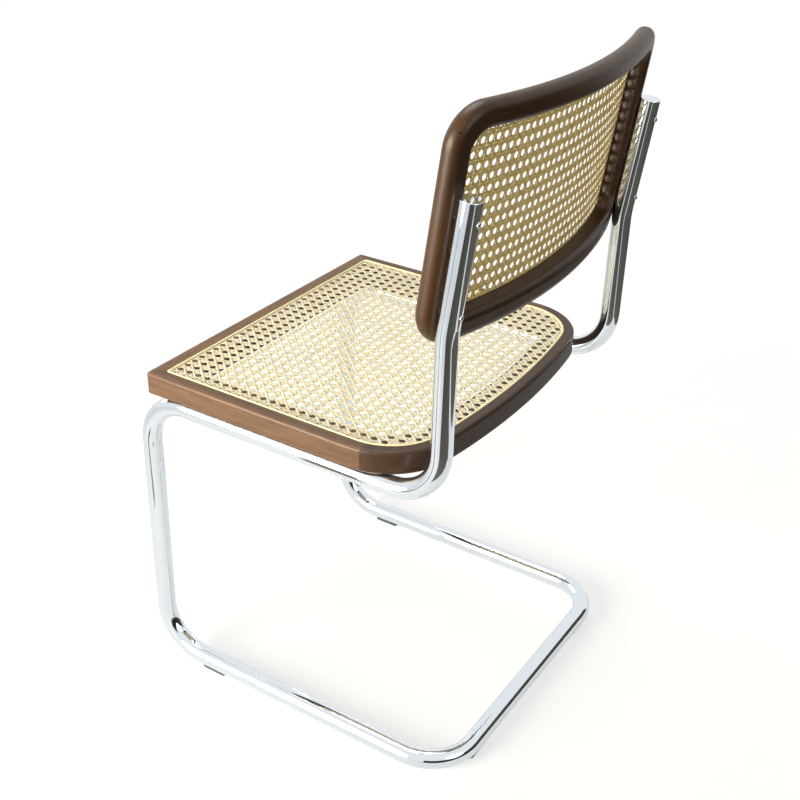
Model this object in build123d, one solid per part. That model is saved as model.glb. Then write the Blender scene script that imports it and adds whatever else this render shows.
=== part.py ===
from build123d import *
import math
import os

# Cantilever dining chair: one bent tube carries a wooden seat frame and a wooden back frame,
# both strung with cane. The origin is on the floor under the middle of the base, +Z is up,
# -Y is the front and +X is the sitter's left. Sizes are in millimetres.

# Bent tube
tube_diameter = 25.0
tube_wall = 2.0
bend_radius = 63.0
side_spacing = 431.0
base_depth = 453.0
seat_run_height = 406.0
upright_setback = 424.5
kink_rise = 205.5
kink_radius = 150.0
upright_lean = 7.4
upright_rise = 352.5
cap_flange = 1.5
cap_plug_length = 12.0

# Glides under the tube
glide_drop = 2.5
glide_length = 38.0
glide_width = 15.0
glide_lip = 2.0
glide_round = 1.0
front_glide_setback = 84.0
rear_glide_inset = 70.5
glide_peg_diameter = 6.0
glide_peg_reach = 2.0

# Seat frame
seat_overhang = 3.5
seat_front_setback = 13.0
seat_rear_gap = 14.5
seat_rail_width = 38.0
seat_rail_height = 28.5
seat_front_corner = 5.0
seat_rear_corner = 88.0
seat_rear_bow = 1050.0
seat_opening_corner = 6.0
seat_bow_depth = 82.0
seat_top_round = 4.0
seat_bottom_round = 1.5
seat_front_margin = 19.3
seat_side_margin = 15.5
seat_rear_margin = 13.5

# Back frame
back_overhang = 2.0
back_height = 262.0
back_middle_rise = 309.5
back_thickness = 23.0
back_curve_radius = 770.0
stile_width = 26.0
top_rail_height = 27.0
bottom_rail_height = 30.0
back_corner = 44.0
back_opening_corner = 22.0
back_edge_round = 11.0
back_inner_round = 8.0
back_margin = 13.0
saddle_depth = 0.6

# Cane and spline
cane_thickness = 1.2
cane_sink = 0.3
cane_tuck = 4.5
groove_width = 4.6
groove_depth = 7.0
groove_corner = 4.0
spline_rise = 0.8
net_pitch = 27.0
net_gap = 19.0

# Fasteners
screw_diameter = 4.5
screw_head_diameter = 9.0
screw_head_height = 2.6
screw_grip = 16.0
seat_screw_setbacks = (96.0, 296.0)
back_screw_offsets = (-80.0, 21.5)
spacer_height = 1.5
spacer_diameter = 14.0
dowel_diameter = 6.0
dowel_length = 25.0

# Clearances
fit_clearance = 0.15
saddle_clearance = 0.2
joint_end_gap = 1.0

# Places worked out from the sizes
tube_radius = tube_diameter / 2
half_spacing = side_spacing / 2
leg_y = -base_depth / 2
bar_y = base_depth / 2
floor_run_z = glide_drop + tube_radius
upright_y = leg_y + upright_setback
kink_height = seat_run_height + kink_rise
upright_top = seat_run_height + upright_rise
lean = math.radians(upright_lean)
along_upright = Vector(0, math.sin(lean), math.cos(lean))
outer_width = side_spacing + tube_diameter
seat_width = outer_width + 2 * seat_overhang
seat_depth = upright_setback - seat_rear_gap - seat_front_setback
seat_front = leg_y + seat_front_setback
seat_rear = seat_front + seat_depth
seat_bottom = seat_run_height + tube_radius + spacer_height
seat_top = seat_bottom + seat_rail_height
seat_joint = seat_rear - seat_bow_depth
back_width = outer_width + 2 * back_overhang
back_middle_height = seat_run_height + back_middle_rise
cane_step = cane_thickness + cane_sink
SIDES = {"left": 1, "right": -1}
ON_FLOOR = (Align.CENTER, Align.CENTER, Align.MIN)


def upright_axis_y(height):
    """Depth of the leaning upright's axis at a height."""
    return upright_y + (height - kink_height) * math.tan(lean)


def tube_path():
    """Axis of the tube, from the left upright's top to the right upright's top."""
    side = [
        (upright_axis_y(upright_top), upright_top),
        (upright_y, kink_height),
        (upright_y, seat_run_height),
        (leg_y, seat_run_height),
        (leg_y, floor_run_z),
        (bar_y, floor_run_z),
    ]
    left = [(half_spacing, y, z) for y, z in side]
    right = [(-half_spacing, y, z) for y, z in reversed(side)]
    radii = [kink_radius] + [bend_radius] * 8 + [kink_radius]
    return FilletPolyline(*left, *right, radius=radii)


def along_tube(path, radius):
    """Solid of a round section run along the tube's axis."""
    section = Plane(path @ 0, z_dir=path % 0) * Circle(radius)
    return sweep(section, path=path)


def rod(start, direction, length, radius):
    """Round rod from a point along a direction."""
    base = Plane(start, z_dir=direction)
    return base * Cylinder(radius, length, align=ON_FLOOR)


def screw(start, direction, length):
    """Pan-head screw whose head seats at the start and whose shank runs along the direction."""
    place = Plane(start, z_dir=direction)
    head = rod((0, 0, 0), (0, 0, -1), screw_head_height, screw_head_diameter / 2)
    head = fillet(head.edges().sort_by(Axis.Z)[0], screw_head_height * 0.6)
    shank = Cylinder(screw_diameter / 2, length, align=ON_FLOOR)
    shank = chamfer(shank.edges().sort_by(Axis.Z)[-1], screw_diameter * 0.3)
    return place * (head + shank)


def seat_screw_lines():
    """Start of each seat screw under its tube, and its length to the end of its grip."""
    start_z = seat_run_height - tube_radius
    length = tube_diameter + spacer_height + screw_grip
    lines = []
    for s in SIDES.values():
        for setback in seat_screw_setbacks:
            lines.append(((s * half_spacing, leg_y + setback, start_z), (0, 0, 1), length))
    return lines


def back_screw_lines():
    """Start of each back screw behind its upright, and its length to the end of its grip."""
    forward = Vector(0, -math.cos(lean), math.sin(lean))
    lines = []
    for s in SIDES.values():
        for offset in back_screw_offsets:
            height = back_middle_height + offset
            axis = Vector(s * half_spacing, upright_axis_y(height), height)
            start = axis - forward * tube_radius
            lines.append((start, forward, tube_diameter - saddle_depth + screw_grip))
    return lines


def screw_holes(lines):
    """Clearance holes along screw lines."""
    radius = screw_diameter / 2 + fit_clearance
    return [rod(start, direction, length + joint_end_gap, radius) for start, direction, length in lines]


def glide_places():
    """Middle of each glide on the floor, with the turn that lays it along its run."""
    places = {}
    for name, s in SIDES.items():
        places[f"front_{name}_glide"] = Pos(s * half_spacing, leg_y + front_glide_setback, 0) * Rot(Z=90)
        places[f"rear_{name}_glide"] = Pos(s * (half_spacing - rear_glide_inset), bar_y, 0)
    return places


def glide(place, envelope):
    """Plastic pad with a saddle for the tube and a peg that enters it."""
    pad = Box(glide_length, glide_width, glide_drop + glide_lip, align=ON_FLOOR)
    pad = fillet(pad.edges().filter_by(Axis.Z), glide_width / 4)
    pad = fillet(pad.faces().sort_by(Axis.Z)[0].edges(), glide_round)
    peg_length = glide_drop / 2 + tube_wall + glide_peg_reach
    peg = rod((0, 0, glide_drop / 2), (0, 0, 1), peg_length, glide_peg_diameter / 2)
    return (place * pad - envelope) + place * peg


def seat_outline(side_inset, front_inset, rear_inset, corner):
    """Plan of the seat, drawn in from its edges: straight front and sides, round rear corners, bowed rear."""
    half = seat_width / 2 - side_inset
    front = seat_front + front_inset
    rear = seat_rear - rear_inset
    turn = seat_rear_corner - side_inset
    bow = seat_rear_bow - rear_inset
    bow_middle = rear - bow
    turn_x = half - turn
    turn_y = bow_middle + math.sqrt((bow - turn) ** 2 - turn_x**2)
    reach = bow / (bow - turn)
    meet_x = turn_x * reach
    meet_y = bow_middle + (turn_y - bow_middle) * reach
    edges = [
        Line((-half + corner, front), (half - corner, front)),
        ThreePointArc((-meet_x, meet_y), (0, rear), (meet_x, meet_y)),
    ]
    for s in SIDES.values():
        edges += [
            TangentArc((s * (half - corner), front), (s * half, front + corner), tangent=(s, 0)),
            Line((s * half, front + corner), (s * half, turn_y)),
            TangentArc((s * half, turn_y), (s * meet_x, meet_y), tangent=(0, 1)),
        ]
    return make_face(edges)


def seat_band(inset, corner):
    """Plan of the seat inside the spline groove's outer wall, drawn in further by an inset."""
    return seat_outline(
        seat_side_margin + inset, seat_front_margin + inset, seat_rear_margin + inset, corner
    )


def raised(face, low, high):
    """Upright solid on a plan, between two heights."""
    return Pos(0, 0, low) * extrude(face, high - low)


def seat_ring():
    """The whole seat frame before it is cut at its joints."""
    plan = seat_outline(0, 0, 0, seat_front_corner)
    plan -= seat_outline(seat_rail_width, seat_rail_width, seat_rail_width, seat_opening_corner)
    ring = raised(plan, seat_bottom, seat_top)
    ring = fillet(ring.faces().sort_by(Axis.Z)[-1].outer_wire().edges(), seat_top_round)
    ring = fillet(ring.faces().sort_by(Axis.Z)[0].outer_wire().edges(), seat_bottom_round)
    inner = seat_band(groove_width, groove_corner)
    groove = seat_band(0, groove_corner) - inner
    ring -= raised(groove, seat_top - groove_depth, seat_top)
    ring -= raised(inner, seat_top - cane_step, seat_top)
    return ring


def seat_front_wedge():
    """Wedge that holds the front rail, bounded by the two mitres."""
    half = seat_width / 2
    points = [
        (-half - seat_rail_width, seat_front - seat_rail_width),
        (half + seat_rail_width, seat_front - seat_rail_width),
        (half - 2 * seat_rail_width, seat_front + 2 * seat_rail_width),
        (-half + 2 * seat_rail_width, seat_front + 2 * seat_rail_width),
    ]
    return raised(make_face(Polyline(*points, close=True)), seat_bottom, seat_top)


def seat_dowel_lines():
    """Middle and direction of each dowel: two in each front mitre and two in each rear joint."""
    low = seat_bottom + (seat_rail_height - groove_depth) / 2
    lines = []
    for s in SIDES.values():
        for share in (0.4, 0.72):
            inset = seat_rail_width * share
            mitre = (s * (seat_width / 2 - inset), seat_front + inset, low)
            lines.append((Vector(*mitre), Vector(s, 1, 0).normalized()))
        for share in (0.3, 0.7):
            butt = (s * (seat_width / 2 - seat_rail_width * share), seat_joint, low)
            lines.append((Vector(*butt), Vector(0, 1, 0)))
    return lines


def dowels(lines):
    """Dowels on lines, each by its middle and direction."""
    return [rod(m - d * (dowel_length / 2), d, dowel_length, dowel_diameter / 2) for m, d in lines]


def dowel_holes(lines):
    """Holes for dowels, a little longer than they are."""
    length = dowel_length + 2 * joint_end_gap
    radius = dowel_diameter / 2 + fit_clearance
    return [rod(m - d * (length / 2), d, length, radius) for m, d in lines]


def seat_frame():
    """Front rail, side rails and rear bow of the seat."""
    ring = seat_ring()
    ring -= dowel_holes(seat_dowel_lines()) + screw_holes(seat_screw_lines())
    wedge = seat_front_wedge()
    reach = seat_width + seat_depth
    behind = Pos(0, seat_joint + reach / 2, 0) * Box(2 * reach, reach, 2 * seat_top)
    left = Pos(reach / 2, 0, 0) * Box(reach, 2 * reach, 2 * seat_top)
    sides = ring - wedge - behind
    return {
        "seat_front_rail": ring & wedge,
        "seat_rear_bow": ring & behind,
        "seat_left_rail": sides & left,
        "seat_right_rail": sides - left,
    }


def net_gaps(width, depth, keep):
    """Eight-sided gaps of a net on a centred grid, where their centres lie inside the kept test."""
    columns = int(width / net_pitch)
    rows = int(depth / net_pitch)
    gap = RegularPolygon(net_gap / 2, 8, major_radius=False, rotation=22.5)
    grid = GridLocations(net_pitch, net_pitch, columns, rows)
    return [place * gap for place in grid if keep(place.position.X, place.position.Y)]


def holed(face, gaps):
    """One face with gaps cut through it."""
    return Face(face.face().outer_wire(), [gap.face().outer_wire() for gap in gaps])


def seat_cane():
    """Net of the seat, lying on the ledge, with its edge tucked down inside the groove."""
    top = seat_top - cane_sink
    edge = groove_width + fit_clearance - cane_thickness
    plan = seat_band(edge, groove_corner)
    room = net_gap / 2 + cane_thickness
    inside = seat_band(groove_width + room, groove_corner).face()
    middle_y = (seat_front + seat_front_margin + seat_rear - seat_rear_margin) / 2

    def keep(x, y):
        return inside.is_inside((x, y + middle_y, 0))

    gaps = [Pos(0, middle_y) * gap for gap in net_gaps(seat_width, seat_depth, keep)]
    sheet = raised(holed(plan, gaps), top - cane_thickness, top)
    tuck = plan - seat_band(groove_width - fit_clearance, groove_corner)
    return sheet + raised(tuck, top - cane_tuck, top)


def seat_spline():
    """Reed that fills the seat's groove outside the tucked cane."""
    inner = seat_band(groove_width - cane_thickness - fit_clearance, groove_corner)
    plan = seat_band(fit_clearance, groove_corner) - inner
    reed = raised(plan, seat_top - groove_depth + fit_clearance, seat_top + spline_rise)
    return fillet(reed.faces().sort_by(Axis.Z)[-1].edges(), spline_rise)


def back_place():
    """Place of the back's own frame: its curve's middle line stands on the leaning uprights."""
    rear = back_curve_radius + back_thickness
    tube_line = math.sqrt((rear + tube_radius - saddle_depth) ** 2 - half_spacing**2)
    mount = Pos(0, upright_axis_y(back_middle_height), back_middle_height)
    return mount * Rot(X=-upright_lean) * Pos(0, -tube_line, 0)


def curved(face, front, rear):
    """Solid on an elevation between two depths behind the back's concave front face."""
    near = back_curve_radius + front
    far = back_curve_radius + rear
    height = 2 * back_height
    shell = Cylinder(far, height) - Cylinder(near, height)
    return extrude(Plane.XZ * face, -2 * far) & shell


def back_outline(inset, corner):
    """Elevation of the back, drawn in from its edges."""
    return RectangleRounded(back_width - 2 * inset, back_height - 2 * inset, corner)


def back_opening():
    """Elevation of the opening between the stiles and the rails."""
    height = back_height - top_rail_height - bottom_rail_height
    opening = RectangleRounded(back_width - 2 * stile_width, height, back_opening_corner)
    return Pos(0, (bottom_rail_height - top_rail_height) / 2) * opening


def back_band(inset):
    """Elevation inside the back groove's outer wall, drawn in further by an inset."""
    return back_outline(back_margin + inset, back_corner - back_margin)


def widest_round(solid, radius):
    """The largest of a solid's cylindrical faces of a radius."""
    rounds = solid.faces().filter_by(GeomType.CYLINDER)
    return rounds.filter_by(lambda face: abs(face.radius - radius) < fit_clearance).sort_by(SortBy.AREA)[-1]


def back_ring():
    """The whole back frame before it is cut at its joints."""
    ring = curved(back_outline(0, back_corner) - back_opening(), 0, back_thickness)
    for radius in (back_curve_radius, back_curve_radius + back_thickness):
        ring = fillet(widest_round(ring, radius).outer_wire().edges(), back_edge_round)
    rear = widest_round(ring, back_curve_radius + back_thickness)
    ring = fillet(rear.inner_wires()[0].edges(), back_inner_round)
    inner = back_band(groove_width)
    ring -= curved(back_band(0) - inner, -back_edge_round, groove_depth)
    ring -= curved(inner, -back_edge_round, cane_step)
    return ring


def mitre_corners():
    """Outer corner of each mitre of the back and the step from it to the opening's corner."""
    corners = {}
    for s in SIDES.values():
        corners[(s, 1)] = (s * back_width / 2, back_height / 2, -s * stile_width, -top_rail_height)
        corners[(s, -1)] = (s * back_width / 2, -back_height / 2, -s * stile_width, bottom_rail_height)
    return corners


def back_wedge(first, second):
    """Wedge between two mitres that holds one member of the back."""
    corners = mitre_corners()
    (ax, az, adx, adz), (bx, bz, bdx, bdz) = corners[first], corners[second]
    points = [
        (ax - adx, az - adz),
        (bx - bdx, bz - bdz),
        (bx + 2 * bdx, bz + 2 * bdz),
        (ax + 2 * adx, az + 2 * adz),
    ]
    return curved(make_face(Polyline(*points, close=True)), -back_edge_round, 2 * back_thickness)


def back_dowel_lines():
    """Middle and direction of two dowels in each corner of the back."""
    depth = back_curve_radius + (groove_depth + back_thickness) / 2
    lines = []
    for x, z, step_x, step_z in mitre_corners().values():
        across = Vector(step_z, 0, -step_x).normalized()
        for share in (0.65, 1.0):
            middle_x = x + step_x * share
            middle = Vector(middle_x, math.sqrt(depth**2 - middle_x**2), z + step_z * share)
            lines.append((middle, across))
    return lines


def cap_room(s):
    """Room for an end cap in the saddle of a stile."""
    return rod(upright_end(s), along_upright, cap_flange + saddle_clearance, tube_radius + saddle_clearance)


def back_frame(envelope):
    """Top rail, bottom rail and stiles of the back."""
    place = back_place()
    ring = back_ring() - dowel_holes(back_dowel_lines())
    members = {
        "back_top_rail": ((1, 1), (-1, 1)),
        "back_bottom_rail": ((1, -1), (-1, -1)),
        "back_left_stile": ((1, 1), (1, -1)),
        "back_right_stile": ((-1, 1), (-1, -1)),
    }
    cuts = [envelope] + [cap_room(s) for s in SIDES.values()] + screw_holes(back_screw_lines())
    return {name: place * (ring & back_wedge(*ends)) - cuts for name, ends in members.items()}


def back_cane():
    """Net of the back, curved with its frame, with its edge tucked into the groove."""
    edge = groove_width + fit_clearance - cane_thickness
    plan = back_band(edge)
    room = back_margin + groove_width + net_gap / 2 + cane_thickness
    half_width = back_width / 2 - room
    half_height = back_height / 2 - room

    def keep(x, y):
        return abs(x) < half_width and abs(y) < half_height

    sheet = curved(holed(plan, net_gaps(back_width, back_height, keep)), cane_sink, cane_step)
    tuck = plan - back_band(groove_width - fit_clearance)
    return back_place() * (sheet + curved(tuck, cane_sink, cane_tuck))


def back_spline():
    """Reed that fills the back's groove outside the tucked cane."""
    plan = back_band(fit_clearance) - back_band(groove_width - cane_thickness - fit_clearance)
    return back_place() * curved(plan, -spline_rise, groove_depth - fit_clearance)


def upright_end(s):
    """Middle of an upright's top end."""
    return Vector(s * half_spacing, upright_axis_y(upright_top), upright_top)


def end_cap(s):
    """Lid on an upright's end with a plug in the tube's bore."""
    lid = rod(upright_end(s), along_upright, cap_flange, tube_radius)
    lid = fillet(lid.edges().filter_by(GeomType.CIRCLE).sort_by(Axis.Z)[-1], cap_flange * 0.6)
    return lid + rod(upright_end(s), -along_upright, cap_plug_length, tube_radius - tube_wall - fit_clearance)


def spacer(start, envelope, holes):
    """Saddle washer between a seat run and a side rail."""
    height = seat_bottom - seat_run_height
    disc = Pos(start[0], start[1], seat_run_height) * Cylinder(spacer_diameter / 2, height, align=ON_FLOOR)
    return disc - envelope - holes


def frame_tube(path, pegs):
    """Bent tube with its bore, its screw holes and its glide holes."""
    tube = along_tube(path, tube_radius) - along_tube(path, tube_radius - tube_wall)
    return tube - (screw_holes(seat_screw_lines()) + screw_holes(back_screw_lines()) + pegs)


def chair():
    """Every node of the chair by its name."""
    path = tube_path()
    envelope = along_tube(path, tube_radius + saddle_clearance)
    glides = glide_places()
    peg_radius = glide_peg_diameter / 2 + fit_clearance
    pegs = [place * rod((0, 0, 0), (0, 0, 1), floor_run_z, peg_radius) for place in glides.values()]
    nodes = {"frame_tube": frame_tube(path, pegs)}
    nodes.update({f"{name}_end_cap": end_cap(s) for name, s in SIDES.items()})
    nodes.update({name: glide(place, envelope) for name, place in glides.items()})
    nodes.update(seat_frame())
    nodes["seat_joint_dowels"] = dowels(seat_dowel_lines())
    nodes["seat_cane"] = seat_cane()
    nodes["seat_spline"] = seat_spline()
    nodes["seat_screws"] = [screw(*line) for line in seat_screw_lines()]
    holes = screw_holes(seat_screw_lines())
    nodes["seat_spacers"] = [spacer(line[0], envelope, holes) for line in seat_screw_lines()]
    nodes.update(back_frame(envelope))
    nodes["back_joint_dowels"] = [back_place() * dowel for dowel in dowels(back_dowel_lines())]
    nodes["back_cane"] = back_cane()
    nodes["back_spline"] = back_spline()
    nodes["back_screws"] = [screw(*line) for line in back_screw_lines()]
    return nodes


os.makedirs("parts", exist_ok=True)
for node_name, shape in chair().items():
    solids = shape if isinstance(shape, list) else [shape]
    export_step(Compound([solid for part in solids for solid in part.solids()]), f"parts/{node_name}.step")
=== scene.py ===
import math

import bmesh
import bpy
from bpy.props import FloatProperty, FloatVectorProperty, PointerProperty
from bpy.types import Operator, Panel, PropertyGroup
from mathutils import Matrix, Vector


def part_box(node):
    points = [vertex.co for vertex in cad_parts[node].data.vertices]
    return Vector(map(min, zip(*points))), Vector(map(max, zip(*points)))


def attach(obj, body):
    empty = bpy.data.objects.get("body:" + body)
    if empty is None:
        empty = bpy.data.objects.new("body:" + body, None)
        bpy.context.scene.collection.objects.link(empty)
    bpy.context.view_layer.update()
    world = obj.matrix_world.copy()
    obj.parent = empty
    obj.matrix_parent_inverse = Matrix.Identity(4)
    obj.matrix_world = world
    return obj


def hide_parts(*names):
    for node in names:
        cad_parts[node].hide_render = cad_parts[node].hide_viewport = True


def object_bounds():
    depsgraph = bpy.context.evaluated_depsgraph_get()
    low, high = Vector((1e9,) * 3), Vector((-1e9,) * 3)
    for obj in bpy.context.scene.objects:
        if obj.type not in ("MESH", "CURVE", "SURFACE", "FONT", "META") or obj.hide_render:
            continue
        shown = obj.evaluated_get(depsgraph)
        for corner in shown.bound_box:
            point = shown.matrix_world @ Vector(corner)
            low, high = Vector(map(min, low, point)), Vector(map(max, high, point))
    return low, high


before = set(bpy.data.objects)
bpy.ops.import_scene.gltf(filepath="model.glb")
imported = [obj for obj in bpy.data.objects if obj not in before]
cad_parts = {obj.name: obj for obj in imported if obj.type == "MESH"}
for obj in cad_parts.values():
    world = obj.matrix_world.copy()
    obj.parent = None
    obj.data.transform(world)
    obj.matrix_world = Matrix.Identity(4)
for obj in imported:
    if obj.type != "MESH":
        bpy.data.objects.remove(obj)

bl_info = {
    "name": "Cane dining chair",
    "version": (1, 0, 0),
    "blender": (4, 5, 0),
    "location": "View3D > Sidebar > Chair",
    "description": "Finishes a cantilever chair in chrome plate, stained beech and woven cane",
    "category": "Object",
}

CAD_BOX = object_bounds()
MM = 0.001
WHITE = (1, 1, 1, 1)
# Points closer than this count as one
MERGE_REACH = 0.001 * MM
# Nodes, grain, stain and dullest sheen of each set of like wooden members
# Each set's stain is one walnut stain made lighter or darker: painted light on the seat's front and sides,
# painted shade on its rear bow and on the back.
MEMBERS = {
    "seat front": (("seat_front_rail",), "X", "front_stain_painted_light", 0.52),
    "seat sides": (("seat_left_rail", "seat_right_rail"), "Y", "side_stain_painted_light", 0.52),
    "seat rear": (("seat_rear_bow",), "X", "bow_stain_painted_shade", 0.52),
    # The back's outer dowels break through its rounded corners, so they are stained with the rails.
    "back rails": (("back_top_rail", "back_bottom_rail", "back_joint_dowels"), "X", "back_stain_painted_shade", 0.46),
    "back stiles": (("back_left_stile", "back_right_stile"), "Z", "back_stain_painted_shade", 0.46),
}
# Values that each point of a strand carries: its strand's shade, and its place along and across the strand
STRAND_MARKS = ("strand", "along", "across")
# Steps of mesh from hole to hole, along a straight strand and along a diagonal one
PAIR_STEPS = 6
SLANT_STEPS = 8
# Materials of a strand by index, and how far down a face has to look to show the pith
SKIN, PITH = 0, 1
PITH_FACING = -0.3
# Steps round a screw, half the angle of an arm of its cross recess, and the angle from which an edge is crisp
SCREW_STEPS = 24
CROSS_ARM = math.radians(16)
CRISP_EDGE = math.radians(35)
# Camera as fitted to the photograph: place in m, heading, tilt and roll in degrees, sensor and lens in mm
CAMERA_PLACE = (1.1874, 0.7533, 1.1629)
CAMERA_TURNS = (122.09, 60.66, 1.57)
CAMERA_SENSOR = 36
CAMERA_LENS = 55.51


def linear(code):
    """Linear colour, with alpha, of an sRGB hex code."""
    channels = [int(code[i : i + 2], 16) / 255 for i in (1, 3, 5)]
    return [c / 12.92 if c <= 0.04045 else ((c + 0.055) / 1.055) ** 2.4 for c in channels] + [1.0]


def length_property(name, description, millimetres):
    """Length that the panel shows in the scene's units."""
    return FloatProperty(
        name=name, description=description, default=millimetres * MM, unit="LENGTH", precision=5
    )


def colour_property(name, description, code):
    """Colour that the panel shows as a swatch."""
    return FloatVectorProperty(
        name=name, description=description, default=linear(code), size=4, min=0, max=1, subtype="COLOR"
    )


class ChairSizes(PropertyGroup):
    """Sizes of the cane, of the curves that it follows and of the screws."""

    seat_pitch_across: length_property("Seat pitch across", "From hole to hole across the seat", 13.3)
    seat_pitch_along: length_property("Seat pitch along", "From hole to hole along the seat's depth", 14.3)
    seat_first_row: length_property("Seat first row", "From the front spline to the first row of holes", 9.2)
    back_pitch_across: length_property("Back pitch across", "From hole to hole across the back", 11.8)
    back_pitch_up: length_property("Back pitch up", "From hole to hole up the back", 13.6)
    back_shift_across: length_property("Back shift across", "From the back's middle to a line of holes", 3.0)
    back_shift_up: length_property("Back shift up", "From the back's middle up to a row of holes", 2.0)
    pair_gap: length_property("Pair gap", "Between the middles of the two strands of a pair", 3.5)
    strand_width: length_property("Strand width", "Width of the straight strands", 2.5)
    slant_width: length_property("Slant width", "Width of the diagonal strands", 2.7)
    strand_thickness: length_property("Strand thickness", "Thickness of a strand at its edge", 0.4)
    strand_crown: length_property("Strand crown", "Rise of a strand's rounded skin", 0.25)
    pair_wave: length_property("Pair wave", "How far a straight strand rises over a crossing one", 0.3)
    slant_wave: length_property("Slant wave", "How far a diagonal strand rises over a pair", 0.6)
    cane_level: length_property("Cane level", "Middle of the cane below the wood's face", 0.9)
    tuck: length_property("Tuck", "How far the cane's edge goes into its groove", 4.5)
    edge_inset: length_property("Edge inset", "From the spline's outside to the ends of the strands", 1.8)
    seat_corner: length_property("Seat corner", "Radius of the spline round the seat's rear corners", 72.5)
    seat_bow: length_property("Seat bow", "Radius of the spline along the seat's rear edge", 1036.5)
    back_corner: length_property("Back corner", "Radius of the spline round the back's corners", 31.0)
    back_curve: length_property("Back curve", "Radius of the back's hollow front", 770.0)
    screw_head: length_property("Screw head", "Width of a screw's head", 6.8)
    screw_rise: length_property("Screw rise", "Height of a screw's head", 1.7)
    screw_seat: length_property("Screw seat", "From the top of a plain screw head to its seat", 2.6)
    screw_shank: length_property("Screw shank", "Width of a screw's shank", 4.5)
    back_lean: FloatProperty(
        name="Back lean",
        description="Lean of the back from upright",
        default=math.radians(7.4),
        subtype="ANGLE",
    )


class ChairColours(PropertyGroup):
    """Colours of the finishes."""

    chrome: colour_property("Chrome", "Chrome plate", "#DFE6EC")
    stain_dark: colour_property("Dark stain", "Walnut stain in the open grain", "#1A0E06")
    # These four close-grain colours are one walnut stain with painted light: lighter on the seat's front and
    # sides, painted shade on the rear bow and the back frame.
    front_stain_painted_light: colour_property("Front stain", "Close grain of the seat's front rail", "#8A6848")
    side_stain_painted_light: colour_property("Side stain", "Close grain of the seat's side rails", "#75573E")
    bow_stain_painted_shade: colour_property("Bow stain", "Close grain of the seat's rear bow", "#4A3321")
    back_stain_painted_shade: colour_property("Back stain", "Close grain of the back frame", "#4E3318")
    bare_beech: colour_property("Bare beech", "Beech of the seat's dowels", "#C99F6E")
    beech_grain: colour_property("Beech grain", "Darker grain of the bare beech", "#B58A5A")
    cane_skin: colour_property("Cane skin", "Outer skin of the cane", "#DDD9C6")
    cane_dull: colour_property("Dull cane skin", "Browner strands of the cane", "#D7C99A")
    cane_pith: colour_property("Cane pith", "Split inner side of the cane", "#FFCF70")
    pith_dull: colour_property("Dull cane pith", "Duller strands on the split inner side", "#FAD88A")
    cane_joint: colour_property("Cane joint", "Ring at a joint of the vine", "#8A6434")
    # Browner cut edges of a strand, which also serve as painted shade in the gaps between strands.
    cane_edge_and_gap_shade: colour_property("Cane edge", "Cut edges of a strand", "#7C4F22")
    reed: colour_property("Reed", "Spline reed", "#F1E7BE")
    glide: colour_property("Glide", "Nylon of the glides", "#4A525B")
    zinc: colour_property("Zinc", "Zinc plate of the screws", "#C3C6C8")
    spacer: colour_property("Spacer", "Plastic of the spacers", "#1C1B1A")


def set_sockets(tree, node, sockets):
    """Sets a node's input sockets to constants, or links them to outputs of other nodes."""
    for socket, value in sockets.items():
        if isinstance(value, bpy.types.NodeSocket):
            tree.links.new(value, node.inputs[socket])
        else:
            node.inputs[socket].default_value = value


def add_node(tree, kind, sockets=None, **settings):
    """Adds a node, sets its properties, and sets or links its input sockets."""
    node = tree.nodes.new(kind)
    for name, value in settings.items():
        setattr(node, name, value)
    set_sockets(tree, node, sockets or {})
    return node


def start_material(name, sockets):
    """New material with constants on its shader's own sockets, and its node tree and shader."""
    made = bpy.data.materials.new(name)
    made.use_nodes = True
    shader = made.node_tree.nodes["Principled BSDF"]
    set_sockets(made.node_tree, shader, sockets)
    return made, made.node_tree, shader


def dress(nodes, material):
    """Gives CAD nodes one material."""
    for name in nodes:
        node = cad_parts[name]
        node.data.materials.clear()
        node.data.materials.append(material)


def chrome_plate():
    """Polished chrome plate on steel: a bright mirror with a faint cloud of handling marks."""
    colours = bpy.context.scene.chair_colours
    made, tree, shader = start_material(
        "Chromed steel, polished plate", {"Metallic": 1.0, "Base Color": colours.chrome}
    )
    place = add_node(tree, "ShaderNodeTexCoord").outputs["Object"]
    # Finger marks are about 25 mm across.
    cloud = add_node(tree, "ShaderNodeTexNoise", {"Vector": place, "Scale": 1 / (25 * MM), "Detail": 3.0})
    dull = add_node(
        tree,
        "ShaderNodeMapRange",
        {"Value": cloud.outputs["Fac"], "From Min": 0.45, "From Max": 0.75, "To Min": 0.035, "To Max": 0.1},
    )
    set_sockets(tree, shader, {"Roughness": dull.outputs["Result"]})
    return made


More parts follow.
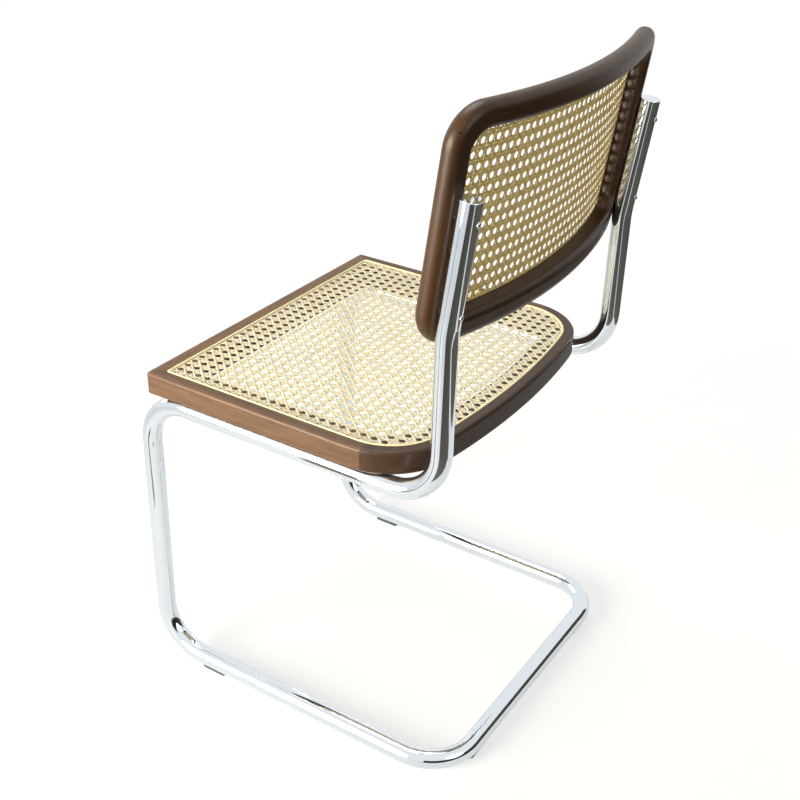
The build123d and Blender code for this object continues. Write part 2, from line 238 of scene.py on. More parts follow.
def stained_beech(members, grain, stain_with_painted_light, dull):
    """Beech under walnut stain and satin lacquer: streaked dark brown, with ray flecks and a soft sheen."""
    colours = bpy.context.scene.chair_colours
    lean = bpy.context.scene.chair_sizes.back_lean
    made, tree, shader = start_material(
        f"Stained beech, satin lacquer, {members}",
        {"Specular IOR Level": 0.26, "Coat Weight": 0.08, "Coat Roughness": 0.2, "IOR": 1.5},
    )
    turn = {"X": (0, 0, 0), "Y": (0, 0, math.pi / 2), "Z": (lean, math.pi / 2, 0)}[grain]
    place = add_node(tree, "ShaderNodeTexCoord").outputs["Object"]
    along = add_node(tree, "ShaderNodeMapping", {"Vector": place, "Rotation": turn}).outputs["Vector"]
    # Streaks of stain are about 90 by 7 mm, pores 14 by 0.8 mm and ray flecks 5 by 1.2 mm.
    stretched = []
    for length, width in ((90, 7), (14, 0.8), (5, 1.2)):
        scale = (1 / (length * MM), 1 / (width * MM), 1 / (width * MM))
        mapping = add_node(tree, "ShaderNodeMapping", {"Vector": along, "Scale": scale})
        stretched.append(mapping.outputs["Vector"])
    streak_place, pore_place, fleck_place = stretched
    streak = add_node(tree, "ShaderNodeTexNoise", {"Vector": streak_place, "Scale": 1.0, "Detail": 3.0})
    pores = add_node(tree, "ShaderNodeTexNoise", {"Vector": pore_place, "Scale": 1.0, "Detail": 2.0})
    fleck = add_node(tree, "ShaderNodeTexVoronoi", {"Vector": fleck_place, "Scale": 1.0})
    streak_share, pore_share, darker = 0.65, 0.55, -0.1
    streaked = add_node(
        tree,
        "ShaderNodeMath",
        {0: streak.outputs["Fac"], 1: streak_share, 2: darker},
        operation="MULTIPLY_ADD",
    )
    grainy = add_node(
        tree,
        "ShaderNodeMath",
        {0: pores.outputs["Fac"], 1: pore_share, 2: streaked.outputs["Value"]},
        operation="MULTIPLY_ADD",
    )
    # The lighter stain carries the painted light and painted shade set for this member in MEMBERS.
    ground = add_node(
        tree,
        "ShaderNodeMix",
        {"Factor": grainy.outputs["Value"], "A": colours.stain_dark, "B": stain_with_painted_light},
        data_type="RGBA",
    )
    spots = add_node(
        tree,
        "ShaderNodeMapRange",
        {
            "Value": fleck.outputs["Distance"],
            "From Min": 0.12,
            "From Max": 0.3,
            "To Min": 0.35,
            "To Max": 0.0,
        },
    )
    stain = add_node(
        tree,
        "ShaderNodeMix",
        {"Factor": spots.outputs["Result"], "A": ground.outputs["Result"], "B": colours.stain_dark},
        data_type="RGBA",
    )
    sheen = add_node(
        tree,
        "ShaderNodeMapRange",
        {
            "Value": pores.outputs["Fac"],
            "From Min": 0.3,
            "From Max": 0.7,
            "To Min": dull,
            "To Max": dull - 0.1,
        },
    )
    relief = add_node(
        tree, "ShaderNodeBump", {"Height": pores.outputs["Fac"], "Strength": 0.12, "Distance": 0.05 * MM}
    )
    set_sockets(
        tree,
        shader,
        {
            "Base Color": stain.outputs["Result"],
            "Roughness": sheen.outputs["Result"],
            "Normal": relief.outputs["Normal"],
        },
    )
    return made


def bare_beech():
    """Bare turned beech of the seat's dowels: pale and matt with fine grain."""
    colours = bpy.context.scene.chair_colours
    made, tree, shader = start_material("Beech, turned and bare", {"Roughness": 0.7})
    place = add_node(tree, "ShaderNodeTexCoord").outputs["Object"]
    # The grain is about 1.5 mm wide.
    grain = add_node(tree, "ShaderNodeTexNoise", {"Vector": place, "Scale": 1 / (1.5 * MM), "Detail": 2.0})
    tint = add_node(
        tree,
        "ShaderNodeMix",
        {"Factor": grain.outputs["Fac"], "A": colours.bare_beech, "B": colours.beech_grain},
        data_type="RGBA",
    )
    set_sockets(tree, shader, {"Base Color": tint.outputs["Result"]})
    return made


def cane_finish(name, ground, other, rough, edge_and_gap_shade_depth):
    """Rattan strand: a shade of its own, fibre lines, browner edges that also paint the shade between
    strands, and a ring at each joint of the vine.
    """
    colours = bpy.context.scene.chair_colours
    made, tree, shader = start_material(
        name,
        {
            "Specular IOR Level": 0.4,
            "IOR": 1.45,
            "Subsurface Weight": 0.8,
            "Subsurface Radius": (1, 1, 1),
            "Subsurface Scale": 1.6 * MM,
        },
    )
    strand, along, across = (
        add_node(tree, "ShaderNodeAttribute", attribute_name=mark).outputs["Fac"] for mark in STRAND_MARKS
    )
    # Fibres are about 17 mm long, 60 to the metre, and 0.3 mm wide, eight across a strand.
    # The jump from shade to shade gives each strand fibres of its own.
    fibres_along, fibres_across, strand_jump = 60, 8, 97
    strand_place = add_node(tree, "ShaderNodeCombineXYZ", {"X": along, "Y": across, "Z": strand})
    fibre_place = add_node(
        tree,
        "ShaderNodeMapping",
        {"Vector": strand_place.outputs["Vector"], "Scale": (fibres_along, fibres_across, strand_jump)},
    )
    fibre = add_node(
        tree, "ShaderNodeTexNoise", {"Vector": fibre_place.outputs["Vector"], "Scale": 1.0, "Detail": 2.0}
    )
    fibre_share, strand_share, paler = 0.6, 0.6, -0.1
    lined = add_node(
        tree, "ShaderNodeMath", {0: fibre.outputs["Fac"], 1: fibre_share, 2: paler}, operation="MULTIPLY_ADD"
    )
    shaded = add_node(
        tree,
        "ShaderNodeMath",
        {0: strand, 1: strand_share, 2: lined.outputs["Value"]},
        operation="MULTIPLY_ADD",
    )
    tone = add_node(
        tree, "ShaderNodeMix", {"Factor": shaded.outputs["Value"], "A": ground, "B": other}, data_type="RGBA"
    )
    # The vine's joints are about 310 mm apart and 3 mm long.
    joint_spacing = 310 * MM
    joints = add_node(
        tree, "ShaderNodeMath", {0: along, 1: 1 / joint_spacing, 2: strand}, operation="MULTIPLY_ADD"
    )
    cycle = add_node(tree, "ShaderNodeMath", {0: joints.outputs["Value"]}, operation="FRACT")
    ring = add_node(
        tree,
        "ShaderNodeMapRange",
        {
            "Value": cycle.outputs["Value"],
            "From Min": 0.004,
            "From Max": 0.012,
            "To Min": 0.55,
            "To Max": 0.0,
        },
    )
    ringed = add_node(
        tree,
        "ShaderNodeMix",
        {"Factor": ring.outputs["Result"], "A": tone.outputs["Result"], "B": colours.cane_joint},
        data_type="RGBA",
    )
    # The edges are browned partly as cut rattan and partly as painted shade in the gaps between strands.
    off_middle = add_node(tree, "ShaderNodeMath", {0: across}, operation="ABSOLUTE")
    edge = add_node(
        tree,
        "ShaderNodeMapRange",
        {
            "Value": off_middle.outputs["Value"],
            "From Min": 0.3,
            "From Max": 0.5,
            "To Min": 0.0,
            "To Max": edge_and_gap_shade_depth,
        },
    )
    edge_and_gap_shaded = add_node(
        tree,
        "ShaderNodeMix",
        {"Factor": edge.outputs["Result"], "A": ringed.outputs["Result"], "B": colours.cane_edge_and_gap_shade},
        data_type="RGBA",
    )
    gloss = add_node(
        tree,
        "ShaderNodeMapRange",
        {
            "Value": fibre.outputs["Fac"],
            "From Min": 0.3,
            "From Max": 0.7,
            "To Min": rough,
            "To Max": rough + 0.12,
        },
    )
    set_sockets(tree, shader, {"Base Color": edge_and_gap_shaded.outputs["Result"], "Roughness": gloss.outputs["Result"]})
    return made


def reed_finish():
    """Rattan reed, split and driven in: pale straw with patches of colour and a dull surface."""
    colours = bpy.context.scene.chair_colours
    made, tree, shader = start_material("Rattan reed, split and driven", {"Specular IOR Level": 0.35})
    place = add_node(tree, "ShaderNodeTexCoord").outputs["Object"]
    # Patches of colour are about 18 mm long.
    patch = add_node(tree, "ShaderNodeTexNoise", {"Vector": place, "Scale": 1 / (18 * MM), "Detail": 4.0})
    tone = add_node(
        tree,
        "ShaderNodeMix",
        {"Factor": patch.outputs["Fac"], "A": colours.reed, "B": colours.cane_dull},
        data_type="RGBA",
    )
    rough = add_node(
        tree,
        "ShaderNodeMapRange",
        {"Value": patch.outputs["Fac"], "From Min": 0.3, "From Max": 0.7, "To Min": 0.5, "To Max": 0.7},
    )
    set_sockets(tree, shader, {"Base Color": tone.outputs["Result"], "Roughness": rough.outputs["Result"]})
    return made


def moulded_plastic(name, colour, grit):
    """Moulded plastic: worn patches a little darker, and a fine matt grit from the mould, in millimetres."""
    made, tree, shader = start_material(name, {"Specular IOR Level": 0.45})
    place = add_node(tree, "ShaderNodeTexCoord").outputs["Object"]
    grain = add_node(tree, "ShaderNodeTexNoise", {"Vector": place, "Scale": 1 / (grit * MM), "Detail": 2.0})
    # Worn patches are about 9 mm across.
    worn = add_node(tree, "ShaderNodeTexNoise", {"Vector": place, "Scale": 1 / (9 * MM), "Detail": 3.0})
    worn_colour = [c * 0.7 for c in colour[:3]] + [1.0]
    tone = add_node(
        tree,
        "ShaderNodeMix",
        {"Factor": worn.outputs["Fac"], "A": colour, "B": worn_colour},
        data_type="RGBA",
    )
    rough = add_node(
        tree,
        "ShaderNodeMapRange",
        {"Value": worn.outputs["Fac"], "From Min": 0.3, "From Max": 0.7, "To Min": 0.42, "To Max": 0.6},
    )
    relief = add_node(
        tree, "ShaderNodeBump", {"Height": grain.outputs["Fac"], "Strength": 0.2, "Distance": 0.05 * MM}
    )
    set_sockets(
        tree,
        shader,
        {
            "Base Color": tone.outputs["Result"],
            "Roughness": rough.outputs["Result"],
            "Normal": relief.outputs["Normal"],
        },
    )
    return made


def zinc_plate():
    """Zinc plate on steel screws: bright grey with a fine grain from turning."""
    colours = bpy.context.scene.chair_colours
    made, tree, shader = start_material(
        "Zinc-plated steel, turned", {"Metallic": 1.0, "Base Color": colours.zinc}
    )
    place = add_node(tree, "ShaderNodeTexCoord").outputs["Object"]
    # The grain is about 0.5 mm wide.
    grain = add_node(tree, "ShaderNodeTexNoise", {"Vector": place, "Scale": 1 / (0.5 * MM), "Detail": 1.0})
    rough = add_node(
        tree,
        "ShaderNodeMapRange",
        {"Value": grain.outputs["Fac"], "From Min": 0.3, "From Max": 0.7, "To Min": 0.16, "To Max": 0.32},
    )
    set_sockets(tree, shader, {"Roughness": rough.outputs["Result"]})
    return made


def seen_share(tree, mirrored):
    """Socket that is 1 for the eye, the mirrored share for reflections and 0 for light on surfaces."""
    path = add_node(tree, "ShaderNodeLightPath").outputs
    share = add_node(tree, "ShaderNodeMath", {0: path["Is Glossy Ray"], 1: mirrored}, operation="MULTIPLY")
    for ray in ("Is Transmission Ray", "Is Camera Ray"):
        share = add_node(
            tree, "ShaderNodeMath", {0: share.outputs["Value"], 1: path[ray]}, operation="MAXIMUM"
        )
    return share.outputs["Value"]


def mesh_object(name, bm, materials):
    """Makes a mesh object of a bmesh and links it to the scene."""
    mesh = bpy.data.meshes.new(name)
    bm.to_mesh(mesh)
    bm.free()
    for material in materials:
        mesh.materials.append(material)
    made = bpy.data.objects.new(name, mesh)
    bpy.context.scene.collection.objects.link(made)
    return made


def place_piece(name, bm, materials, nodes):
    """Makes a piece of a bmesh, rides it on the chair and lets it stand for CAD nodes."""
    piece = mesh_object(name, bm, materials)
    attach(piece, "root")
    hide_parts(*nodes)


def pair_rise(offset, half_gap):
    """Share of a straight strand's rise at an offset from the middle of the pair that it crosses."""
    share = offset / half_gap
    return share * math.exp((1 - share * share) / 2)


def to_crossing(place, pitch):
    """Offset of a place from the nearest pair of strands."""
    return (place % pitch) - pitch / 2


def weave_heights(sizes, across, up):
    """Rule by family name for a strand's height at a place in the flat weave, for the pitches across and up.

    Holes lie on a grid, and pairs run between them. The diagonals cross on the pairs, midway between the
    pairs' own crossings, so each hole has eight sides."""
    half_gap = sizes.pair_gap / 2

    def upright(point, side):
        return sizes.pair_wave * side * pair_rise(to_crossing(point.y, up), half_gap)

    def cross(point, side):
        return -sizes.pair_wave * side * pair_rise(to_crossing(point.x, across), half_gap)

    def slant(point, side):
        return -sizes.slant_wave * side * math.cos(2 * math.pi * point.x / across)

    return {"uprights": upright, "crossers": cross, "slants": slant}


def strand_lines(sizes, across, up, columns, rows):
    """Turn, offset, side, length, width and steps of every strand of a flat weave, by family name."""
    half_gap = sizes.pair_gap / 2
    width = sizes.strand_width
    reach = columns + rows
    diagonal = math.hypot(across, up)
    slope = math.atan2(across, up)
    lines = {"uprights": [], "crossers": [], "slants": []}
    for side in (-1, 1):
        for i in range(-columns, columns):
            offset = (i + 0.5) * across + side * half_gap
            lines["uprights"].append((0, offset, side, 2 * rows * up, width, 2 * rows * PAIR_STEPS))
        for j in range(-rows, rows):
            offset = (j + 0.5) * up + side * half_gap
            lines["crossers"].append(
                (math.pi / 2, -offset, side, 2 * columns * across, width, 2 * columns * PAIR_STEPS)
            )
        for n in range(-reach, reach):
            offset = (n + 0.5) * across * up / diagonal
            lines["slants"].append(
                (side * slope, offset, side, reach * diagonal, sizes.slant_width, reach * SLANT_STEPS)
            )
    return lines


def own_shade(number, family):
    """Shade of a strand, from 0 to 1: scattered from strand to strand, but the same in each run."""
    scatter = math.sin(number * 12.9898 + len(family)) * 43758.5453
    return scatter % 1


def weave(name, pitches, origin, half_sizes, inside, bend):
    """Woven cane in three pieces, one for each family of strands, trimmed by a test and bent to its frame."""
    sizes = bpy.context.scene.chair_sizes
    colours = bpy.context.scene.chair_colours
    skin = cane_finish(
        f"Rattan cane, glossy skin, {name}",
        colours.cane_skin,
        colours.cane_dull,
        rough=0.34,
        edge_and_gap_shade_depth=0.35,
    )
    # The pith side's edges are browned more deeply, as painted shade between the strands of the back.
    pith = cane_finish(
        f"Rattan cane, split pith side, {name}",
        colours.cane_pith,
        colours.pith_dull,
        rough=0.6,
        edge_and_gap_shade_depth=0.75,
    )
    across, up = pitches
    columns, rows = (math.ceil((h + abs(o)) / p) + 1 for h, o, p in zip(half_sizes, origin, pitches))
    heights = weave_heights(sizes, across, up)
    shift = Vector((*origin, 0))
    for family, lines in strand_lines(sizes, across, up, columns, rows).items():
        bm = bmesh.new()
        strand_layer, along_layer, across_layer = (bm.verts.layers.float.new(mark) for mark in STRAND_MARKS)
        for number, (turn, offset, side, length, width, steps) in enumerate(lines):
            ribbon = bmesh.ops.create_grid(bm, x_segments=2, y_segments=steps, size=0.5)["verts"]
            shade = own_shade(number, family)
            spin = Matrix.Rotation(turn, 3, "Z")
            for v in ribbon:
                v[strand_layer] = shade
                v[across_layer] = v.co.x
                v[along_layer] = v.co.y * length
                crown = sizes.strand_crown * (1 - abs(v.co.x) * 2)
                flat = spin @ Vector((v.co.x * width + offset, v.co.y * length, 0))
                v.co = flat + shift + Vector((0, 0, crown + heights[family](flat, side)))
            outside = [v for v in ribbon if not inside(v.co.x, v.co.y)]
            bmesh.ops.delete(bm, geom=outside, context="VERTS")
        bmesh.ops.solidify(bm, geom=bm.faces[:], thickness=sizes.strand_thickness)
        bmesh.ops.recalc_face_normals(bm, faces=bm.faces)
        for face in bm.faces:
            face.smooth = True
            face.material_index = SKIN if face.normal.z > PITH_FACING else PITH
        for v in bm.verts:
            v.co = bend(v.co)
        place_piece(f"{name}_{family}", bm, (skin, pith), (name,))


def loose_parts(node):
    """Points of each separate solid of a CAD node, in order along X, Y and Z."""
    bm = bmesh.new()
    bm.from_mesh(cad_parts[node].data)
    bmesh.ops.remove_doubles(bm, verts=bm.verts, dist=MERGE_REACH)
    left, parts = set(bm.verts), []
    for start in bm.verts:
        if start not in left:
            continue
        left.remove(start)
        waiting, part = [start], []
        while waiting:
            v = waiting.pop()
            part.append(v.co.copy())
            near = [e.other_vert(v) for e in v.link_edges]
            waiting += [o for o in near if o in left]
            left.difference_update(near)
        parts.append(part)
    bm.free()
    return sorted(parts, key=lambda part: tuple(min(p[k] for p in part) for k in range(3)))


def turn_screw(sizes, part, forward):
    """Pan-head screw with a cross recess, turned about a plain one's axis and driven along a direction."""
    tilt = forward.to_track_quat("Z", "Y").to_matrix()
    flat = [tilt.inverted() @ p for p in part]
    low = Vector(min(p[k] for p in flat) for k in range(3))
    high = Vector(max(p[k] for p in flat) for k in range(3))
    seat, length = low.z + sizes.screw_seat, high.z - low.z - sizes.screw_seat
    head, rise, shank = sizes.screw_head / 2, sizes.screw_rise, sizes.screw_shank / 2
    hub, recess = head * 0.15, rise * 0.6
    outline = [
        (0, -rise),
        (hub, -rise),
        (head * 0.5, -rise),
        (head * 0.8, -rise * 0.75),
        (head, -rise * 0.3),
        (head, 0),
        (shank, 0),
        (shank, length - shank * 0.6),
        (shank * 0.4, length),
        (0, length),
    ]
    bm = bmesh.new()
    profile = [bm.verts.new((r, 0, z)) for r, z in outline]
    edges = [bm.edges.new(pair) for pair in zip(profile, profile[1:])]
    bmesh.ops.spin(
        bm,
        geom=profile + edges,
        cent=(0, 0, 0),
        axis=(0, 0, 1),
        angle=2 * math.pi,
        steps=SCREW_STEPS,
        use_merge=True,
    )
    bmesh.ops.remove_doubles(bm, verts=bm.verts, dist=MERGE_REACH)
    bmesh.ops.recalc_face_normals(bm, faces=bm.faces)
    arms = []
    for face in bm.faces:
        middle = face.calc_center_median()
        angle = math.atan2(middle.y, middle.x) % (math.pi / 2)
        in_cross = middle.xy.length < hub or min(angle, math.pi / 2 - angle) < CROSS_ARM
        on_top = max(v.co.z for v in face.verts) < -rise + MERGE_REACH
        if in_cross and on_top:
            arms.append(face)
    sunk = bmesh.ops.extrude_face_region(bm, geom=arms)["geom"]
    bmesh.ops.delete(bm, geom=arms, context="FACES")
    floor = [v for v in sunk if isinstance(v, bmesh.types.BMVert)]
    bmesh.ops.translate(bm, vec=(0, 0, recess), verts=floor)
    place = tilt.to_4x4() @ Matrix.Translation(((low.x + high.x) / 2, (low.y + high.y) / 2, seat))
    bmesh.ops.transform(bm, matrix=place, verts=bm.verts)
    bmesh.ops.recalc_face_normals(bm, faces=bm.faces)
    for face in bm.faces:
        face.smooth = True
    for edge in bm.edges:
        edge.smooth = edge.calc_face_angle() < CRISP_EDGE
    return bm


def seat_room(sizes):
    """Test for the seat: whether a place in plan is inside the line where its strands end."""
    low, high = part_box("seat_spline")
    half = high.x - sizes.edge_inset
    front, rear = low.y + sizes.edge_inset, high.y - sizes.edge_inset
    turn = sizes.seat_corner - sizes.edge_inset
    bow = sizes.seat_bow - sizes.edge_inset
    bow_middle = rear - bow
    turn_x = half - turn
    turn_y = bow_middle + math.sqrt((bow - turn) ** 2 - turn_x**2)

    def inside(x, y):
        if abs(x) > half or y < front or math.hypot(x, y - bow_middle) > bow:
            return False
        return abs(x) < turn_x or y < turn_y or math.hypot(abs(x) - turn_x, y - turn_y) < turn

    return inside


def back_place(sizes):
    """Matrix from the back's own axes, with the middle of its curve at the origin, to the row frame."""
    lean = Matrix.Rotation(-sizes.back_lean, 4, "X")
    upright = lean.inverted()
    points = [upright @ v.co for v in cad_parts["back_cane"].data.vertices]
    rear = max(p.y for p in points)
    heights = [p.z for p in points]
    middle = Vector((0, rear - sizes.tuck - sizes.back_curve, (min(heights) + max(heights)) / 2))
    return lean @ Matrix.Translation(middle)


def back_half_sizes(sizes):
    """Half the width and half the height of the back's spline, in the back's own axes."""
    inverse = back_place(sizes).inverted()
    points = [inverse @ v.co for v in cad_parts["back_spline"].data.vertices]
    return max(p.x for p in points), max(p.z for p in points)


class CHAIR_OT_plate_tube(Operator):
    """Chrome-plates the bent tube and its end caps"""

    bl_idname = "chair.plate_tube"
    bl_label = "Plate the tube"

    def execute(self, context):
        dress(("frame_tube", "left_end_cap", "right_end_cap"), chrome_plate())
        return {"FINISHED"}


class CHAIR_OT_stain_frames(Operator):
    """Stains the seat and back frames with the grain along each member"""

    bl_idname = "chair.stain_frames"
    bl_label = "Stain the frames"

    def execute(self, context):
        colours = context.scene.chair_colours
        for members, (nodes, grain, stain, dull) in MEMBERS.items():
            dress(nodes, stained_beech(members, grain, getattr(colours, stain), dull))
        dress(("seat_joint_dowels",), bare_beech())
        return {"FINISHED"}


class CHAIR_OT_finish_fittings(Operator):
    """Finishes the glides, spacers and splines"""

    bl_idname = "chair.finish_fittings"
    bl_label = "Finish the fittings"

    def execute(self, context):
        colours = context.scene.chair_colours
        glides = [f"{end}_{side}_glide" for end in ("front", "rear") for side in ("left", "right")]
        dress(glides, moulded_plastic("Nylon, moulded", colours.glide, grit=0.4))
        dress(("seat_spacers",), moulded_plastic("Polyethylene, moulded black", colours.spacer, grit=0.5))
        dress(("seat_spline", "back_spline"), reed_finish())
        return {"FINISHED"}


class CHAIR_OT_drive_screws(Operator):
    """Drives the pan-head screws that hold the seat and the back to the tube"""

    bl_idname = "chair.drive_screws"
    bl_label = "Drive the screws"

    def execute(self, context):
        sizes = context.scene.chair_sizes
        plate = zinc_plate()
        leaning = Vector((0, -math.cos(sizes.back_lean), math.sin(sizes.back_lean)))
        for node, forward in (("seat_screws", Vector((0, 0, 1))), ("back_screws", leaning)):
            bm = bmesh.new()
            for part in loose_parts(node):
                screw = turn_screw(sizes, part, forward)
                mesh = bpy.data.meshes.new("screw")
                screw.to_mesh(mesh)
                screw.free()
                bm.from_mesh(mesh)
                bpy.data.meshes.remove(mesh)
            place_piece(f"pan_head_{node}", bm, (plate,), (node,))
        return {"FINISHED"}


class CHAIR_OT_weave_seat(Operator):
    """Weaves the seat's cane into its groove"""

    bl_idname = "chair.weave_seat"
    bl_label = "Weave the seat"

    def execute(self, context):
        sizes = context.scene.chair_sizes
        low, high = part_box("seat_spline")
        middle_y = (low.y + high.y) / 2
        wood_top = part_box("seat_left_rail")[1].z
        inside = seat_room(sizes)

        def in_plan(x, y):
            return inside(x, y + middle_y)

        def lay(point):
            return Vector((point.x, point.y + middle_y, wood_top - sizes.cane_level + point.z))

        half_depth = (high.y - low.y) / 2
        weave(
            "seat_cane",
            (sizes.seat_pitch_across, sizes.seat_pitch_along),
            (0, sizes.seat_first_row - half_depth),
            (high.x, half_depth),
            in_plan,
            lay,
        )
        return {"FINISHED"}


class CHAIR_OT_weave_back(Operator):
    """Weaves the back's cane and bends it to the back's hollow"""

    bl_idname = "chair.weave_back"
    bl_label = "Weave the back"

    def execute(self, context):
        sizes = context.scene.chair_sizes
        place = back_place(sizes)
        half_width, half_height = back_half_sizes(sizes)
        room_x, room_z = half_width - sizes.edge_inset, half_height - sizes.edge_inset
        corner = sizes.back_corner

        def inside(arc, height):
            over_x = abs(sizes.back_curve * math.sin(arc / sizes.back_curve)) - (room_x - corner)
            over_z = abs(height) - (room_z - corner)
            return math.hypot(max(over_x, 0), max(over_z, 0)) < corner

        def lay(point):
            radius = sizes.back_curve + sizes.cane_level - point.z
            angle = point.x / sizes.back_curve
            return place @ Vector((radius * math.sin(angle), radius * math.cos(angle), point.y))

        arc_reach = sizes.back_curve * math.asin(half_width / sizes.back_curve)
        weave(
            "back_cane",
            (sizes.back_pitch_across, sizes.back_pitch_up),
            (sizes.back_shift_across, sizes.back_shift_up),
            (arc_reach, half_height),
            inside,
            lay,
        )
        return {"FINISHED"}


class CHAIR_OT_set_stage(Operator):
    """Sets the white floor, the soft lights, the dark studio cards and the camera"""

    bl_idname = "chair.set_stage"
    bl_label = "Set the stage"

    def execute(self, context):
        scene = context.scene
        scene.view_settings.view_transform = "Standard"
        self.light_world(scene)
        self.lay_floor()
        self.hang_lights(scene)
        self.stand_cards()
        self.aim_camera(scene)
        return {"FINISHED"}

    def light_world(self, scene):
        """White to the eye and in reflections, softer as light."""
        scene.world = scene.world or bpy.data.worlds.new("Studio")
        scene.world.use_nodes = True
        tree = scene.world.node_tree
        tree.nodes.clear()
        seen = seen_share(tree, mirrored=1.0)
        strength = add_node(tree, "ShaderNodeMapRange", {"Value": seen, "To Min": 0.08, "To Max": 1.0})
        sky = add_node(
            tree, "ShaderNodeBackground", {"Color": WHITE, "Strength": strength.outputs["Result"]}
        )
        add_node(tree, "ShaderNodeOutputWorld", {"Surface": sky.outputs["Background"]})

    def lay_floor(self):
        """Pale floor that takes a soft shadow and reads as white to the eye and in the chrome."""
        half_width, drop = 15, 0.2 * MM
        bm = bmesh.new()
        bmesh.ops.create_grid(bm, x_segments=1, y_segments=1, size=half_width)
        bmesh.ops.translate(bm, vec=(0, 0, CAD_BOX[0].z - drop), verts=bm.verts)
        paint, tree, shader = start_material(
            "Studio floor, painted matt",
            {
                "Base Color": linear("#9A9A98"),
                "Roughness": 0.9,
                "Specular IOR Level": 0.1,
                "Emission Color": WHITE,
            },
        )
        # Reflections get less of the glow, so that a chromed tube stands out from the white floor.
        seen = seen_share(tree, mirrored=0.84)
        place = add_node(tree, "ShaderNodeTexCoord").outputs["Object"]
        away = add_node(tree, "ShaderNodeVectorMath", {0: place}, operation="LENGTH")
        # The glow evens out the lamps, so that the floor is as white 2.5 m away as it is round the shadow.
        glow = add_node(
            tree,
            "ShaderNodeMapRange",
            {
                "Value": away.outputs["Value"],
                "From Min": 0.5,
                "From Max": 2.5,
                "To Min": 0.68,
                "To Max": 0.95,
            },
        )
        lift = add_node(tree, "ShaderNodeMath", {0: seen, 1: glow.outputs["Result"]}, operation="MULTIPLY")
        set_sockets(tree, shader, {"Emission Strength": lift.outputs["Value"]})
        floor = mesh_object("floor", bm, (paint,))

    def hang_lights(self, scene):
        """A soft warm key low on the sitter's left, a top light, and weaker lights before and behind."""
        middle = (CAD_BOX[0] + CAD_BOX[1]) / 2
        warm, white = (1, 0.93, 0.8), (1, 1, 1)
        # Places and widths are in metres, powers in watts and spreads in degrees.
        for name, place, width, power, spread, colour in (
            ("key", Vector((1.55, -0.6, 0.7)), 1.2, 21, 80, warm),
            ("front", Vector((-0.2, -2.4, 1.5)), 1.5, 6, 180, white),
            ("top", Vector((-0.3, -0.4, 2.5)), 1.4, 32, 180, white),
            ("rear", Vector((0.5, 2.3, 1.4)), 1.4, 12, 180, white),
        ):
            lamp = bpy.data.lights.new(name, "AREA")
            lamp.shape = "DISK"
            lamp.size = width
            lamp.energy = power
            lamp.spread = math.radians(spread)
            lamp.color = colour
            holder = bpy.data.objects.new(name, lamp)
            holder.location = place
            holder.rotation_euler = (middle - place).to_track_quat("-Z", "Y").to_euler()
            scene.collection.objects.link(holder)

    def stand_cards(self):
        """Dark studio cards that only reflections see, for the bands that give a bright tube its form.

        They lie on the floor and stand behind it, on the camera's side and to its right."""
        felt = start_material(
            "Studio card, grey felt", {"Base Color": linear("#656157"), "Roughness": 1.0}
        )[0]
        level = Vector((0, 0, CAD_BOX[0].z + 1 * MM))
        # Level directions towards the camera and to its right, and upright, of one metre each
        near, right, rise = Vector((0.845, 0.535, 0)), Vector((-0.535, 0.845, 0)), Vector((0, 0, 1))
        for name, corner, side, other in (
            ("card_floor_near", near * 0.62 - right * 0.25, near * 3.3, right * 1.05),
            ("card_floor_right", right * 0.92 - near * 1.5, right * 2.1, near * 5.45),
            (
                "card_floor_left",
                near * 0.33 - right * 0.55,
                near * 1.2 - right * 2.0,
                near * 0.1 + right * 0.06,
            ),
            ("card_wall_near", near * 3.95 - right * 0.6, right * 3.6, rise * 1.5),
            ("card_wall_right", right * 3.0 - near * 1.5, near * 5.45, rise * 1.5),
        ):
            bm = bmesh.new()
            bm.faces.new([bm.verts.new(corner + level + p) for p in (Vector(), side, side + other, other)])
            card = mesh_object(name, bm, (felt,))
            card.visible_camera = False
            card.visible_diffuse = False
            card.visible_shadow = False
            card.visible_transmission = False

    def aim_camera(self, scene):
        """Camera at the photograph's place, looking down on the chair from behind its left side."""
        lens = bpy.data.cameras.new("camera")
        lens.sensor_width = CAMERA_SENSOR
        lens.lens = CAMERA_LENS
        camera = bpy.data.objects.new("camera", lens)
        heading, tilt, roll = (math.radians(turn) for turn in CAMERA_TURNS)
        aim = Matrix.Rotation(heading, 4, "Z") @ Matrix.Rotation(tilt, 4, "X") @ Matrix.Rotation(roll, 4, "Z")
        camera.matrix_world = Matrix.Translation(CAMERA_PLACE) @ aim
        scene.collection.objects.link(camera)
        scene.camera = camera


class CHAIR_PT_panel(Panel):
    """Steps that finish the chair"""

    bl_idname = "CHAIR_PT_panel"
    bl_label = "Cane dining chair"
    bl_space_type = "VIEW_3D"
    bl_region_type = "UI"
    bl_category = "Chair"

    def draw(self, context):
        for step in STEPS:
            self.layout.operator(step.bl_idname)
        for group in (context.scene.chair_sizes, context.scene.chair_colours):
            for name in group.bl_rna.properties.keys():
                if name not in ("rna_type", "name"):
                    self.layout.prop(group, name)


STEPS = (
    CHAIR_OT_plate_tube,
    CHAIR_OT_stain_frames,
    CHAIR_OT_finish_fittings,
    CHAIR_OT_drive_screws,
    CHAIR_OT_weave_seat,
    CHAIR_OT_weave_back,
    CHAIR_OT_set_stage,
)
CLASSES = (ChairSizes, ChairColours, *STEPS, CHAIR_PT_panel)


def register():
    """Adds the classes and hangs the properties on the scene."""
    for entry in CLASSES:
        bpy.utils.register_class(entry)
    bpy.types.Scene.chair_sizes = PointerProperty(type=ChairSizes)
    bpy.types.Scene.chair_colours = PointerProperty(type=ChairColours)


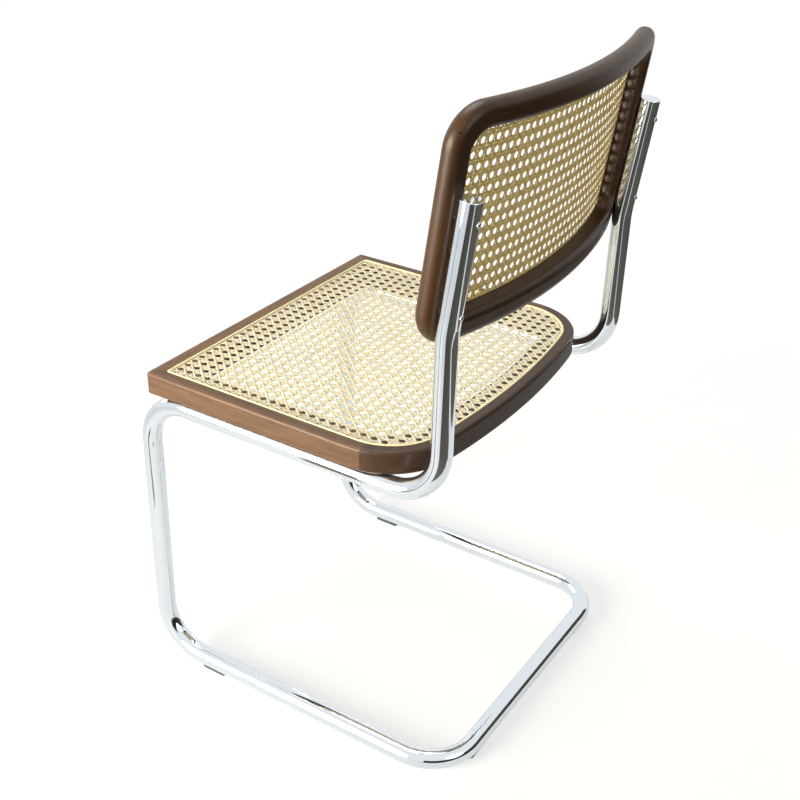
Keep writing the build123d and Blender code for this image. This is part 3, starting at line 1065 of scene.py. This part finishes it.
def unregister():
    """Takes the properties and the classes away."""
    del bpy.types.Scene.chair_sizes
    del bpy.types.Scene.chair_colours
    for entry in reversed(CLASSES):
        bpy.utils.unregister_class(entry)


def main():
    """Finishes the chair step by step."""
    register()
    bpy.ops.chair.plate_tube()
    bpy.ops.chair.stain_frames()
    bpy.ops.chair.finish_fittings()
    bpy.ops.chair.drive_screws()
    bpy.ops.chair.weave_seat()
    bpy.ops.chair.weave_back()
    bpy.ops.chair.set_stage()


if __name__ == "__main__":
    main()
